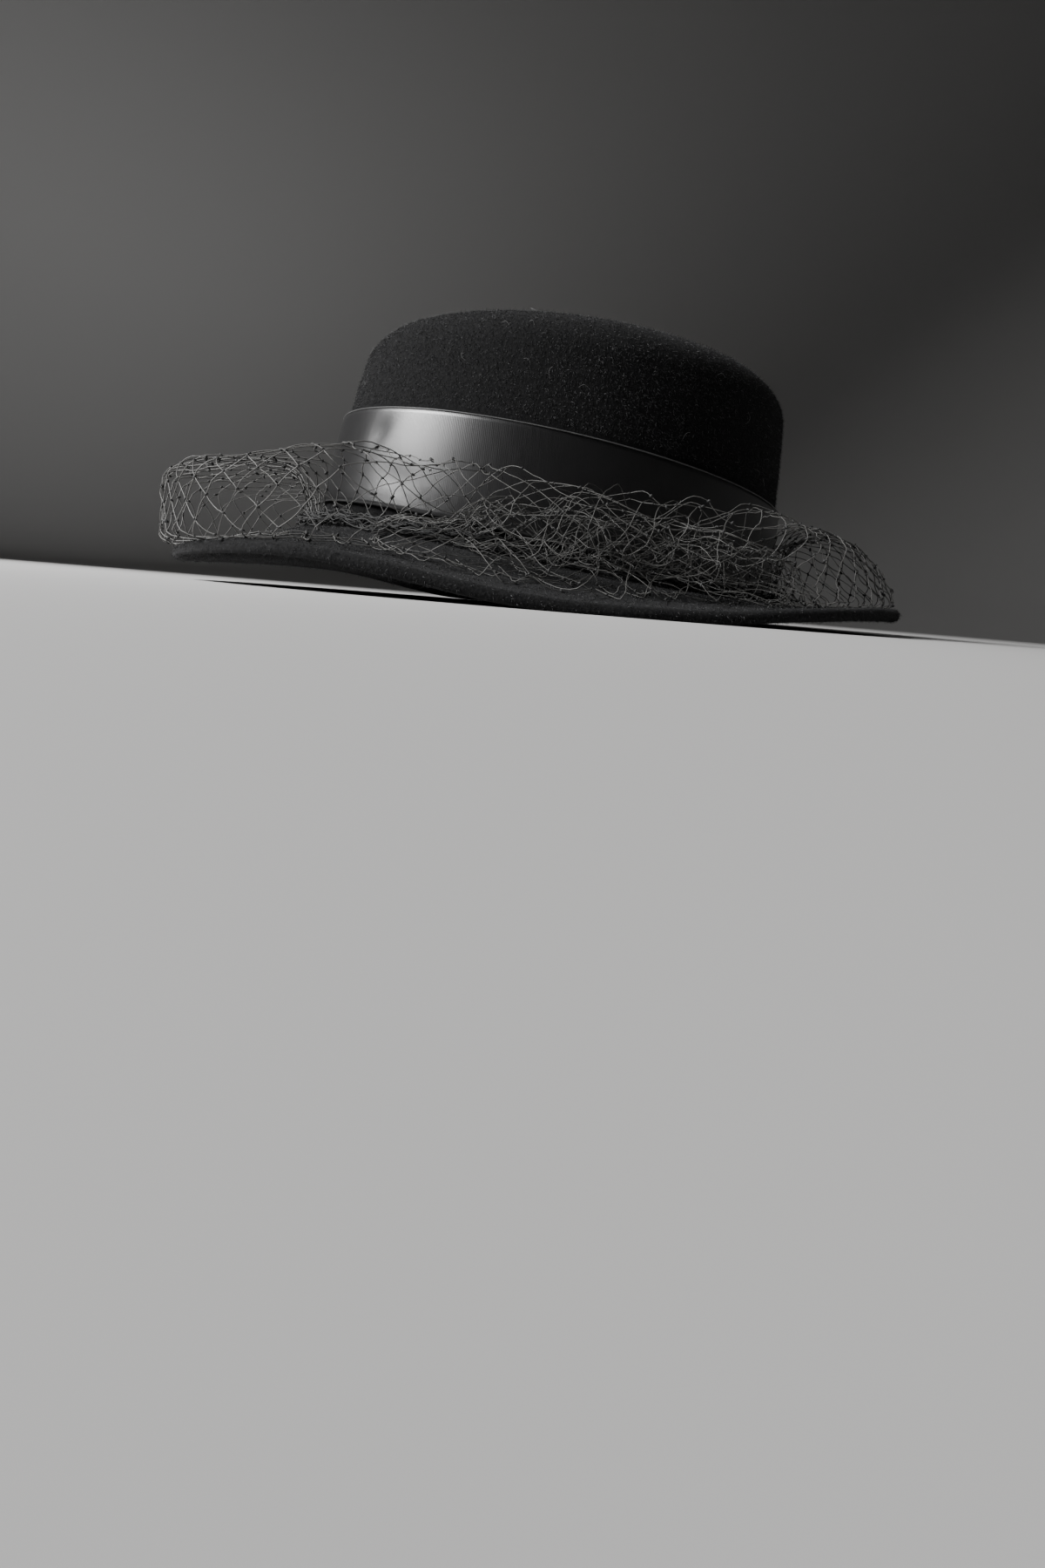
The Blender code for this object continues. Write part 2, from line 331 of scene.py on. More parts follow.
def felt_group():
    """Speckle of wool: a colour between dark and light, and a height for the bump."""
    group = bpy.data.node_groups.new("wool_speckle", "ShaderNodeTree")
    face = group.interface
    for name, start in (("Dark", (0.01, 0.01, 0.01, 1)), ("Light", (0.08, 0.08, 0.08, 1))):
        socket = face.new_socket(name=name, in_out="INPUT", socket_type="NodeSocketColor")
        socket.default_value = start
    grain = face.new_socket(name="Grain", in_out="INPUT", socket_type="NodeSocketFloat")
    grain.default_value = 1200
    face.new_socket(name="Color", in_out="OUTPUT", socket_type="NodeSocketColor")
    face.new_socket(name="Height", in_out="OUTPUT", socket_type="NodeSocketFloat")
    nodes, links = group.nodes, group.links
    inputs, outputs = nodes.new("NodeGroupInput"), nodes.new("NodeGroupOutput")
    coords = nodes.new("ShaderNodeTexCoord")
    stretch = nodes.new("ShaderNodeMapping")
    stretch.inputs["Scale"].default_value = (1.0, 1.0, 0.7)
    links.new(coords.outputs["Object"], stretch.inputs["Vector"])
    fine = nodes.new("ShaderNodeTexNoise")
    fine.inputs["Detail"].default_value = 3
    fine.inputs["Roughness"].default_value = 0.65
    links.new(stretch.outputs["Vector"], fine.inputs["Vector"])
    links.new(inputs.outputs["Grain"], fine.inputs["Scale"])
    patch = nodes.new("ShaderNodeTexNoise")
    patch.inputs["Scale"].default_value = 60
    patch.inputs["Detail"].default_value = 4
    links.new(coords.outputs["Object"], patch.inputs["Vector"])
    sharp = nodes.new("ShaderNodeMapRange")
    sharp.inputs["From Min"].default_value = 0.46
    sharp.inputs["From Max"].default_value = 0.78
    links.new(fine.outputs["Fac"], sharp.inputs["Value"])
    tone = nodes.new("ShaderNodeMapRange")
    tone.inputs["From Min"].default_value = 0.3
    tone.inputs["From Max"].default_value = 0.75
    tone.inputs["To Min"].default_value = 0.7
    tone.inputs["To Max"].default_value = 1.15
    links.new(patch.outputs["Fac"], tone.inputs["Value"])
    share = nodes.new("ShaderNodeMath")
    share.operation = "MULTIPLY"
    links.new(sharp.outputs["Result"], share.inputs[0])
    links.new(tone.outputs["Result"], share.inputs[1])
    mix = nodes.new("ShaderNodeMix")
    mix.data_type = "RGBA"
    links.new(share.outputs["Value"], mix.inputs["Factor"])
    links.new(inputs.outputs["Dark"], mix.inputs["A"])
    links.new(inputs.outputs["Light"], mix.inputs["B"])
    links.new(mix.outputs["Result"], outputs.inputs["Color"])
    links.new(fine.outputs["Fac"], outputs.inputs["Height"])
    return group


def felt_material(name, group, dark, light, sheen, grain):
    """Matt wool with a little sheen."""
    material, nodes, links, shader = new_material(name)
    speckle = nodes.new("ShaderNodeGroup")
    speckle.node_tree = group
    speckle.inputs["Dark"].default_value = (*dark, 1)
    speckle.inputs["Light"].default_value = (*light, 1)
    speckle.inputs["Grain"].default_value = grain
    bump = nodes.new("ShaderNodeBump")
    bump.inputs["Strength"].default_value = 0.6
    bump.inputs["Distance"].default_value = 0.0004
    links.new(speckle.outputs["Height"], bump.inputs["Height"])
    links.new(speckle.outputs["Color"], shader.inputs["Base Color"])
    links.new(bump.outputs["Normal"], shader.inputs["Normal"])
    shader.inputs["Roughness"].default_value = 0.95
    shader.inputs["Specular IOR Level"].default_value = 0.15
    shader.inputs["Sheen Weight"].default_value = sheen
    shader.inputs["Sheen Roughness"].default_value = 0.6
    shader.inputs["Sheen Tint"].default_value = (0.8, 0.8, 0.82, 1)
    return material


def hair_material(name, dark, light):
    """Loose wool: each hair has its own tone, from the mesh's tone attribute."""
    material, nodes, links, shader = new_material(name)
    tone = nodes.new("ShaderNodeAttribute")
    tone.attribute_name = "tone"
    mix = nodes.new("ShaderNodeMix")
    mix.data_type = "RGBA"
    mix.inputs["A"].default_value = (*dark, 1)
    mix.inputs["B"].default_value = (*light, 1)
    links.new(tone.outputs["Fac"], mix.inputs["Factor"])
    links.new(mix.outputs["Result"], shader.inputs["Base Color"])
    shader.inputs["Roughness"].default_value = 0.7
    shader.inputs["Specular IOR Level"].default_value = 0.3
    return material


def ribbon_material():
    """Black ribbon with fine upright ribs, read along the ribbon's own UV map in metres."""
    material, nodes, links, shader = new_material("ribbed_satin")
    coords = nodes.new("ShaderNodeUVMap")
    coords.uv_map = "along"
    split = nodes.new("ShaderNodeSeparateXYZ")
    links.new(coords.outputs["UV"], split.inputs["Vector"])
    ribs = nodes.new("ShaderNodeTexWave")
    ribs.wave_type = "BANDS"
    ribs.bands_direction = "X"
    ribs.inputs["Scale"].default_value = 1 / RIB_PITCH / math.pi
    ribs.inputs["Distortion"].default_value = 0.35
    ribs.inputs["Detail"].default_value = 1
    ribs.inputs["Detail Scale"].default_value = 0.4
    links.new(coords.outputs["UV"], ribs.inputs["Vector"])
    slubs = nodes.new("ShaderNodeMapping")
    slubs.inputs["Scale"].default_value = (2200, 90, 1)
    links.new(coords.outputs["UV"], slubs.inputs["Vector"])
    streak = nodes.new("ShaderNodeTexNoise")
    streak.inputs["Scale"].default_value = 1
    streak.inputs["Detail"].default_value = 3
    links.new(slubs.outputs["Vector"], streak.inputs["Vector"])
    colour = nodes.new("ShaderNodeMix")
    colour.data_type = "RGBA"
    colour.inputs["A"].default_value = (0.004, 0.004, 0.0043, 1)
    colour.inputs["B"].default_value = (0.010, 0.0097, 0.0104, 1)
    links.new(streak.outputs["Fac"], colour.inputs["Factor"])
    links.new(colour.outputs["Result"], shader.inputs["Base Color"])
    rough = nodes.new("ShaderNodeMapRange")
    rough.inputs["To Min"].default_value = 0.29
    rough.inputs["To Max"].default_value = 0.37
    links.new(streak.outputs["Fac"], rough.inputs["Value"])
    links.new(rough.outputs["Result"], shader.inputs["Roughness"])
    height = nodes.new("ShaderNodeMath")
    height.operation = "MULTIPLY_ADD"
    height.inputs[1].default_value = 0.35
    links.new(streak.outputs["Fac"], height.inputs[0])
    links.new(ribs.outputs["Fac"], height.inputs[2])
    bump = nodes.new("ShaderNodeBump")
    bump.inputs["Strength"].default_value = 0.16
    bump.inputs["Distance"].default_value = 0.0001
    links.new(height.outputs["Value"], bump.inputs["Height"])
    links.new(bump.outputs["Normal"], shader.inputs["Normal"])
    shader.inputs["Specular IOR Level"].default_value = 0.9
    return material


def thread_material(name, dark, light, roughness):
    """Twisted thread, with painted shade: darker where the net has folded on itself, standing in for the
    shade its stacked layers cast.
    """
    material, nodes, links, shader = new_material(name)
    coords = nodes.new("ShaderNodeTexCoord")
    twist = nodes.new("ShaderNodeTexNoise")
    twist.inputs["Scale"].default_value = 900
    twist.inputs["Detail"].default_value = 2
    links.new(coords.outputs["Object"], twist.inputs["Vector"])
    mix = nodes.new("ShaderNodeMix")
    mix.data_type = "RGBA"
    mix.inputs["A"].default_value = (*dark, 1)
    mix.inputs["B"].default_value = (*light, 1)
    links.new(twist.outputs["Fac"], mix.inputs["Factor"])
    folded = nodes.new("ShaderNodeAttribute")
    folded.attribute_name = "folded"
    shade = nodes.new("ShaderNodeMix")
    shade.data_type = "RGBA"
    shade.blend_type = "MULTIPLY"
    # Painted shade: the folded share darkens the thread's colour by this tone
    shade.inputs["B"].default_value = (*FOLDED_PAINTED_SHADE, 1)
    links.new(folded.outputs["Fac"], shade.inputs["Factor"])
    links.new(mix.outputs["Result"], shade.inputs["A"])
    links.new(shade.outputs["Result"], shader.inputs["Base Color"])
    bump = nodes.new("ShaderNodeBump")
    bump.inputs["Strength"].default_value = 0.5
    bump.inputs["Distance"].default_value = 0.0001
    links.new(twist.outputs["Fac"], bump.inputs["Height"])
    links.new(bump.outputs["Normal"], shader.inputs["Normal"])
    shader.inputs["Roughness"].default_value = roughness
    return material


# Shared mesh helpers


def add_object(name, mesh, material):
    """Puts a mesh in the scene as an object with one material."""
    mesh.materials.clear()
    mesh.materials.append(material)
    piece = bpy.data.objects.new(name, mesh)
    bpy.context.scene.collection.objects.link(piece)
    return piece


def applied(piece):
    """Makes a piece's modifiers or bevel part of its mesh."""
    bpy.context.view_layer.update()
    graph = bpy.context.evaluated_depsgraph_get()
    mesh = bpy.data.meshes.new_from_object(piece.evaluated_get(graph))
    mesh.name = piece.name
    return mesh


def new_curve(name, thick):
    """A round curve of a thread's or a hair's thickness, as yet without points."""
    curve = bpy.data.curves.new(name, "CURVE")
    curve.dimensions = "3D"
    curve.bevel_depth = thick / 2
    curve.bevel_resolution = 0
    return curve


def curve_mesh(curve):
    """The mesh of a curve's bevel."""
    line = bpy.data.objects.new(curve.name, curve)
    bpy.context.scene.collection.objects.link(line)
    mesh = applied(line)
    bpy.data.objects.remove(line, do_unlink=True)
    return mesh


def join_cad_mesh(shape, flat_angle):
    """Merges the doubled points of a CAD mesh and joins its triangles into four-sided faces."""
    bmesh.ops.remove_doubles(shape, verts=shape.verts, dist=SAME_POINT)
    bmesh.ops.join_triangles(
        shape,
        faces=shape.faces,
        angle_face_threshold=flat_angle,
        angle_shape_threshold=SQUARE_ENOUGH,
    )


def rounded_off(mesh, name, material):
    """A cage's mesh rounded off by subdivision."""
    for attribute in ("custom_normal", "sharp_edge"):
        if attribute in mesh.attributes:
            mesh.attributes.remove(mesh.attributes[attribute])
    cage = add_object(name + "_cage", mesh, material)
    rounded = cage.modifiers.new("Rounded", "SUBSURF")
    rounded.levels = ROUNDING_LEVELS
    rounded.render_levels = ROUNDING_LEVELS
    smooth = applied(cage)
    bpy.data.objects.remove(cage, do_unlink=True)
    smooth.name = name
    return smooth


def mesh_from_arrays(name, points, faces):
    """A mesh from an array of points and an array of faces with equal numbers of corners."""
    mesh = bpy.data.meshes.new(name)
    sides = faces.shape[1]
    mesh.vertices.add(len(points))
    mesh.vertices.foreach_set("co", points.astype(np.float32).ravel())
    mesh.loops.add(faces.size)
    mesh.loops.foreach_set("vertex_index", faces.astype(np.int32).ravel())
    mesh.polygons.add(len(faces))
    mesh.polygons.foreach_set("loop_start", np.arange(0, faces.size, sides, dtype=np.int32))
    mesh.update(calc_edges=True)
    return mesh


# Felt


def felt_shell(node, name, material):
    """The felt as blocked: the CAD wall rounded off and made slightly uneven."""
    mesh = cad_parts[node].data.copy()
    mesh.name = name
    shape = bmesh.new()
    shape.from_mesh(mesh)
    join_cad_mesh(shape, FLAT_FELT)
    shape.to_mesh(mesh)
    shape.free()
    smooth = rounded_off(mesh, name, material)
    for vert, normal in zip(smooth.vertices, [v.normal.copy() for v in smooth.vertices]):
        if vert.co.z > FLAT_BELOW:
            wave = noise.noise(vert.co / FELT_UNEVEN_SIZE)
            grain = noise.noise(vert.co / FELT_GRAIN_SIZE)
            vert.co += normal * (FELT_UNEVEN * wave + FELT_GRAIN * grain)
    smooth.shade_smooth()
    felt = add_object(name, smooth, material)
    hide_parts(node)
    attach(felt, "root")
    return felt


def surface_samples(piece, count, seed):
    """Points spread evenly over a mesh's faces, with the faces' normals."""
    mesh = piece.data
    mesh.calc_loop_triangles()
    corners = np.array([[*tri.vertices] for tri in mesh.loop_triangles])
    points = np.array([vert.co for vert in mesh.vertices])
    a, b, c = points[corners[:, 0]], points[corners[:, 1]], points[corners[:, 2]]
    cross = np.cross(b - a, c - a)
    area = np.linalg.norm(cross, axis=1)
    draw = np.random.default_rng(seed)
    chosen = draw.choice(len(corners), size=count, p=area / area.sum())
    u, v = draw.random(count), draw.random(count)
    turned = u + v > 1
    u[turned], v[turned] = 1 - u[turned], 1 - v[turned]
    place = a[chosen] + (b - a)[chosen] * u[:, None] + (c - a)[chosen] * v[:, None]
    normal = cross[chosen] / area[chosen][:, None]
    return place, normal, draw


def add_nap(name, piece, hairs, seed, keep, material):
    """Short wool hairs that lie on the felt, each a thin closed spike."""
    place, normal, draw = surface_samples(piece, hairs * 3, seed)
    kept = np.array([keep(Vector(p), Vector(n)) for p, n in zip(place, normal)])
    place, normal = place[kept][:hairs], normal[kept][:hairs]
    count = len(place)
    # Brushed downwards and round, with each hair's own lean
    brush = draw.normal(size=(count, 3)) * HAIR_SPREAD + (0.0, 0.0, -HAIR_DOWN)
    along = brush - normal * np.sum(brush * normal, axis=1)[:, None]
    along /= np.linalg.norm(along, axis=1)[:, None]
    rise = np.radians(draw.triangular(*HAIR_LEANS, count))[:, None]
    way = along * np.cos(rise) + normal * np.sin(rise)
    across = np.cross(way, normal)
    across /= np.linalg.norm(across, axis=1)[:, None]
    over = np.cross(across, way)
    shortest, longest = HAIR_LENGTHS
    length = draw.triangular(shortest, shortest * HAIR_USUAL, longest, count)
    thick = HAIR_THICK / 2 * draw.uniform(*HAIR_THICKNESSES, count)[:, None]
    root = place - normal * HAIR_SUNK
    ring = []
    for corner in range(3):
        angle = 2 * math.pi * corner / 3
        ring.append(root + (across * math.cos(angle) + over * math.sin(angle)) * thick)
    tip = root + way * length[:, None]
    points = np.stack([*ring, tip], axis=1).reshape(-1, 3)
    points[:, 2] = np.maximum(points[:, 2], 0.0)
    first = np.arange(count)[:, None] * 4
    pattern = np.array([[0, 1, 3], [1, 2, 3], [2, 0, 3], [0, 2, 1]])
    faces = (first[:, None, :] + pattern[None, :, :]).reshape(-1, 3)
    mesh = mesh_from_arrays(name, points, faces)
    tone = mesh.attributes.new("tone", "FLOAT", "POINT")
    tones = np.repeat(draw.random(count) ** FEW_LIGHT_HAIRS, 4)
    tone.data.foreach_set("value", tones.astype(np.float32))
    nap = add_object(name, mesh, material)
    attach(nap, "root")


def on_open_crown(place, normal):
    """Keeps a hair on the crown's outside, clear of the ribbon."""
    middle = Vector((0, OVAL_MIDDLE, place.z))
    outside = normal.dot(place - middle) > 0 or normal.z > 0.4
    return outside and RIBBON_SURFACE.find_nearest(place, HAIR_OFF_RIBBON)[0] is None


def on_open_brim(place, normal):
    """Keeps a hair off the collar, which the crown covers."""
    flat = Vector((place.x / HALF_WIDTH, (place.y - OVAL_MIDDLE) / HALF_LENGTH))
    return flat.length > 1.0 and place.z > 0.0008


def add_stray_hairs(crown, material):
    """A few long pale hairs that stand off the crown."""
    place, normal, draw = surface_samples(crown, STRAY_HAIRS * 4, seed=71)
    curve = new_curve("stray_hairs", STRAY_THICK)
    curve.use_fill_caps = True
    made = 0
    for start, away in zip(place, normal):
        start, away = Vector(start), Vector(away)
        if made == STRAY_HAIRS or not on_open_crown(start, away):
            continue
        made += 1
        side = Vector(draw.normal(size=3)).cross(away).normalized()
        length = draw.uniform(*STRAY_LENGTHS)
        lift = draw.uniform(*STRAY_LIFTS)
        spline = curve.splines.new("POLY")
        spline.points.add(STRAY_PARTS)
        for step in range(STRAY_PARTS + 1):
            share = step / STRAY_PARTS
            bend = math.sin(math.pi * share)
            point = start + side * length * share + away * (lift * bend + 0.0001)
            point += side.cross(away) * (length * STRAY_BEND * bend)
            spline.points[step].co = (*point, 1)
    hairs = add_object("stray_hairs", curve_mesh(curve), material)
    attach(hairs, "root")


# Ribbon


def ribbon_dent(point):
    """How far the ribbon gives inwards, in slanting hollows below its free upper edge."""
    turn = math.degrees(turn_of(point))
    depth = 0.0
    for row in DENT_TABLE:
        dent = dict(zip(DENT_COLUMNS, row))
        across = (turn - dent["turn_deg"]) * DEGREE_LENGTH + (point.z - dent["height"]) * dent["slant"]
        up = point.z - dent["height"]
        depth += dent["depth"] * math.exp(-((across / dent["wide"]) ** 2) - (up / dent["tall"]) ** 2)
    return depth


def map_along(mesh):
    """Gives the ribbon's mesh one UV map, in metres along and across the ribbon."""
    while mesh.uv_layers:
        mesh.uv_layers.remove(mesh.uv_layers[0])
    layer = mesh.uv_layers.new(name="along")
    mean_radius = (HALF_WIDTH + HALF_LENGTH) / 2
    for face in mesh.polygons:
        corners = [mesh.vertices[index].co for index in face.vertices]
        turns = [turn_of(corner) for corner in corners]
        wrap = max(turns) - min(turns) > math.pi
        for loop_index, corner, turn in zip(face.loop_indices, corners, turns):
            if wrap and turn < 0:
                turn += 2 * math.pi
            layer.data[loop_index].uv = (turn * mean_radius, corner.z)


def add_ribbon(material):
    """The CAD band rounded off, slightly rippled and dented."""
    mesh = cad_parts["ribbon_band"].data.copy()
    shape = bmesh.new()
    shape.from_mesh(mesh)
    join_cad_mesh(shape, FLAT_RIBBON)
    upright = [e for e in shape.edges if abs((e.verts[0].co - e.verts[1].co).z) > UPRIGHT_LENGTH]
    bmesh.ops.subdivide_edges(shape, edges=upright, cuts=RIBBON_CUTS, use_grid_fill=True)
    crease = shape.edges.layers.float.new("crease_edge")
    for edge in shape.edges:
        if len(edge.link_faces) == 2 and edge.calc_face_angle() > EDGE_ANGLE:
            edge[crease] = EDGE_CREASE
    shape.to_mesh(mesh)
    shape.free()
    smooth = rounded_off(mesh, "satin_ribbon", material)
    for vert, normal in zip(smooth.vertices, [v.normal.copy() for v in smooth.vertices]):
        flat = Vector((normal.x, normal.y, 0))
        ripple = noise.noise(Vector((vert.co.x, vert.co.y, vert.co.z * 0.5)) / RIPPLE_SIZE)
        vert.co += flat * (RIBBON_RIPPLE * ripple - ribbon_dent(vert.co))
    map_along(smooth)
    smooth.shade_smooth()
    ribbon = add_object("satin_ribbon", smooth, material)
    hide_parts("ribbon_band")
    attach(ribbon, "root")
    return ribbon


def ribbon_top_ring():
    """The outer corners of the CAD band's top edge, in order round the hat."""
    shape = bmesh.new()
    shape.from_mesh(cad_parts["ribbon_band"].data)
    bmesh.ops.remove_doubles(shape, verts=shape.verts, dist=SAME_POINT)
    shape.normal_update()
    corners = set()
    for edge in shape.edges:
        middle = (edge.verts[0].co + edge.verts[1].co) / 2 - Vector((0, OVAL_MIDDLE, 0))
        upward = sorted(face.normal.z for face in edge.link_faces)
        outside = max(face.normal.xy.dot(middle.xy) for face in edge.link_faces)
        if upward[1] > 0.7 > upward[0] and outside > 0.6 * middle.xy.length:
            corners.update(edge.verts)
    ring = [vert.co.copy() for vert in corners]
    shape.free()
    return sorted(ring, key=lambda co: math.atan2(co.x, OVAL_MIDDLE - co.y))


def add_selvedge(material):
    """The ribbon's corded upper edge, a thin line lighter than its face: a real cord, with a painted
    highlight in its lighter grey for the light the edge catches.
    """
    curve = new_curve("ribbon_selvedge", SELVEDGE_THICK)
    curve.bevel_resolution = 2
    curve.resolution_u = 6
    ring = ribbon_top_ring()
    spline = curve.splines.new("BEZIER")
    spline.bezier_points.add(len(ring) - 1)
    spline.use_cyclic_u = True
    for point, corner in zip(spline.bezier_points, ring):
        point.co = corner - Vector((0, 0, SELVEDGE_THICK / 3))
        point.handle_left_type = "AUTO"
        point.handle_right_type = "AUTO"
    mesh = curve_mesh(curve)
    mesh.shade_smooth()
    edge = add_object("ribbon_selvedge", mesh, material)
    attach(edge, "root")
    return edge


# Net veil

# How the net runs from the gathers at the crown's foot over the puff and back along the brim,
# in shares of its reach and rise: where it stands boxy, where it is round, and where it has
# fallen in folds
RUN_KINDS = ("boxy", "round", "fallen")
RUN_COLUMNS = ("boxy_out", "boxy_up", "round_out", "round_up", "fallen_out", "fallen_up")
RUN_TABLE = (
    (0.00, 0.02, 0.00, 0.02, 0.02, 0.02),
    (0.04, 0.40, 0.02, 0.42, 0.05, 0.50),
    (0.13, 0.78, 0.09, 0.82, 0.16, 0.90),
    (0.34, 0.96, 0.24, 1.00, 0.38, 1.00),
    (0.66, 1.00, 0.42, 0.98, 0.64, 0.86),
    (0.93, 0.98, 0.62, 0.84, 0.74, 0.56),
    (1.03, 0.70, 0.80, 0.58, 0.56, 0.36),
    (1.04, 0.34, 0.93, 0.28, 0.40, 0.44),
    (1.00, 0.10, 0.98, 0.08, 0.60, 0.30),
    (0.86, 0.02, 0.88, 0.02, 0.84, 0.20),
    (0.62, 0.02, 0.66, 0.02, 0.92, 0.05),
    (0.44, 0.02, 0.46, 0.02, 0.70, 0.02),
)

# Round the hat from its front: how far out and how high the puff goes, in shares of the
# brim's width and of the puff's full rise, how round it is and how far it has fallen
PUFF_RISE = 0.0375
PUFF_COLUMNS = ("turn_deg", "reach", "rise", "round", "fallen")
PUFF_TABLE = (
    (0, 1.08, 0.82, 0.00, 0.00),
    (30, 1.05, 0.75, 0.00, 0.00),
    (50, 0.98, 0.83, 0.10, 0.15),
    (66, 0.80, 0.78, 0.20, 0.85),
    (90, 0.80, 0.74, 0.20, 1.00),
    (114, 0.84, 0.78, 0.60, 0.90),
    (128, 0.94, 0.82, 1.00, 0.30),
    (150, 0.96, 0.87, 1.00, 0.00),
    (180, 0.96, 0.88, 1.00, 0.00),
)

# The layers of net: where each runs round the left side, how many cells it has there, and how
# high it stands, how far it wanders from its even run and how far its threads slant
LAYER_COLUMNS = ("name", "seed", "cells", "from_deg", "to_deg", "rise", "wander", "slant")
LAYER_TABLE = (
    ("folds_low", 11, 18, 50, 140, 0.55, 0.0060, -0.45),
    ("folds_middle", 12, 15, 58, 132, 0.80, 0.0066, 0.50),
    ("folds_high", 13, 10, 62, 118, 0.95, 0.0056, 0.20),
)


def puff_value(name, turn):
    """A value of the puff's table at a turn, the same on the left and on the right."""
    angle = abs(math.degrees(math.atan2(math.sin(turn), math.cos(turn))))
    place = PUFF_COLUMNS.index(name)
    return float(np.interp(angle, [r[0] for r in PUFF_TABLE], [r[place] for r in PUFF_TABLE]))


def folded_share(point):
    """How far the net has fallen at a point, 0 where it stands and 1 in the folds."""
    return puff_value("fallen", turn_of(point))


def catmull(points, steps):
    """A smooth line through points, as an array."""
    points = np.array(points)
    padded = np.vstack([2 * points[0] - points[1], points, 2 * points[-1] - points[-2]])
    line = []
    for i in range(len(points) - 1):
        p0, p1, p2, p3 = padded[i : i + 4]
        for step in range(steps):
            t = step / steps
            straight = 2 * p1 + (p2 - p0) * t
            bent = (2 * p0 - 5 * p1 + 4 * p2 - p3) * t**2
            twisted = (3 * p1 - 3 * p2 + p3 - p0) * t**3
            line.append((straight + bent + twisted) / 2)
    line.append(points[-1])
    return np.array(line)


def net_section(turn, tighter):
    """The net's run at a turn, as points (out, up) and the share of its length at each."""
    fallen = puff_value("fallen", turn)
    rounded = puff_value("round", turn)
    parts = {"boxy": (1 - fallen) * (1 - rounded), "round": (1 - fallen) * rounded, "fallen": fallen}
    uneven = noise.noise(Vector((4.2 * turn, 9.0 * tighter, 2.5)))
    reach = puff_value("reach", turn) * brim_width(turn) * (1 + REACH_WANDER * fallen * uneven)
    lift = noise.noise(Vector((6.0 * turn, 9.0 * tighter, 7.5)))
    rise = puff_value("rise", turn) * PUFF_RISE * tighter * (1 + RISE_WANDER * fallen * lift)
    rows = []
    for row in RUN_TABLE:
        values = dict(zip(RUN_COLUMNS, row))
        out = sum(parts[kind] * values[kind + "_out"] for kind in RUN_KINDS)
        up = sum(parts[kind] * values[kind + "_up"] for kind in RUN_KINDS)
        rows.append((NET_START + out * (reach - NET_START), up * rise))
    line = catmull(rows, 8)
    length = np.concatenate([[0], np.cumsum(np.linalg.norm(np.diff(line, axis=0), axis=1))])
    return line, length / length[-1]


def make_layer(name, seed, columns, turns, tighter, wander, slant, material):
    """One layer of knotted net: two families of slanting threads, and their knots."""
    start, end = turns
    whole = end - start > 2 * math.pi - 0.001
    draw = random.Random(seed)
    offset = Vector((draw.uniform(0, 50), draw.uniform(0, 50), draw.uniform(0, 50)))
    sections = {}

    def place(column, row):
        share = row / HALF_ROWS
        turn = start + (end - start) * column / columns
        fallen = puff_value("fallen", turn)
        turn += fallen * slant * (share - SLANT_FROM)
        turn += TURN_WANDER * noise.noise(Vector((turn * 5, share * 3, seed)))
        key = round(turn * SECTIONS_A_RADIAN)
        if key not in sections:
            sections[key] = net_section(key / SECTIONS_A_RADIAN, tighter)
        line, length = sections[key]
        out = float(np.interp(share, length, line[:, 0]))
        up = float(np.interp(share, length, line[:, 1]))
        if not whole:
            # A folded layer closes down to the gathers at both its ends
            open_share = min(column, columns - column, CLOSING_CELLS) / CLOSING_CELLS
            out = NET_START + (out - NET_START) * max(open_share, 0.0) ** 0.5
            up = up * max(open_share, 0.0) ** 0.5
        point = over_brim(turn, out, up)
        amount = wander * (STANDING_WANDER + fallen)
        waves = noise.noise_vector(point / WIDE_WAVE + offset) * amount
        waves += noise.noise_vector(point / SMALL_WAVE + offset) * amount * SMALL_WAVE_SHARE
        # The net's ends stay put, and what lies on the brim stays near it
        free = math.sin(math.pi * min(share * 1.15, 1.0)) ** 0.5
        out += waves.dot(outward(turn)) * free
        up += waves.z * free
        turn += waves.dot(Vector((0, 0, 1)).cross(outward(turn))) * free / AXIS_DISTANCE
        limit = brim_width(turn) + NET_PAST_EDGE
        out = min(max(out, NET_NEAREST), limit)
        up = max(up, NET_CLEAR + THREAD / 2)
        return kept_clear(over_brim(turn, out, up))

    curve = new_curve(name, THREAD)
    curve.use_fill_caps = True
    knots = []
    for column in range(columns):
        for slope in (0.5, -0.5):
            points = []
            for step in range(HALF_ROWS * STEPS_A_SIDE + 1):
                row = step / STEPS_A_SIDE
                where = column + slope * row
                if not whole and not 0 <= where <= columns:
                    continue
                point = place(where, row)
                # Each side of a cell bows its own way between its knots, and a fallen thread
                # has slack to wander from the others
                side = Vector((column * 3.1, int(row) * 2.3 + slope, seed))
                bow = noise.noise_vector(side) * math.sin(math.pi * (row % 1.0)) * SIDE_BOW
                along = Vector((column * 3.1, row * 0.42, seed + 7 * slope))
                slack = noise.noise_vector(along) * folded_share(point) * SLACK
                point = kept_clear(point + bow + slack)
                floor = over_brim(turn_of(point), out_of(point), NET_CLEAR + THREAD / 2)
                point.z = max(point.z, floor.z)
                points.append(point)
                if slope > 0 and step % STEPS_A_SIDE == 0:
                    knots.append(points[-1])
            if len(points) < 3:
                continue
            spline = curve.splines.new("POLY")
            spline.points.add(len(points) - 1)
            for spot, point in zip(spline.points, points):
                spot.co = (*point, 1)
                spot.radius = 1 - FOLDED_THINNER * folded_share(point)
    mesh = curve_mesh(curve)
    mesh.shade_smooth()
    # The folded share, which the thread's material also uses as the mask for its painted shade
    folded = mesh.attributes.new("folded", "FLOAT", "POINT")
    folded.data.foreach_set("value", [folded_share(vert.co) for vert in mesh.vertices])
    piece = add_object(name, mesh, material)
    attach(piece, "root")
    return piece, knots


def kept_clear(point):
    """Moves a point off the crown and the ribbon if it is inside or too close to them."""
    near, normal = BODY_SURFACE.find_nearest(point, NET_SEARCH)[:2]
    if near is not None and (point - near).dot(normal) < NET_CLEAR:
        point = near + normal * NET_CLEAR
    return point


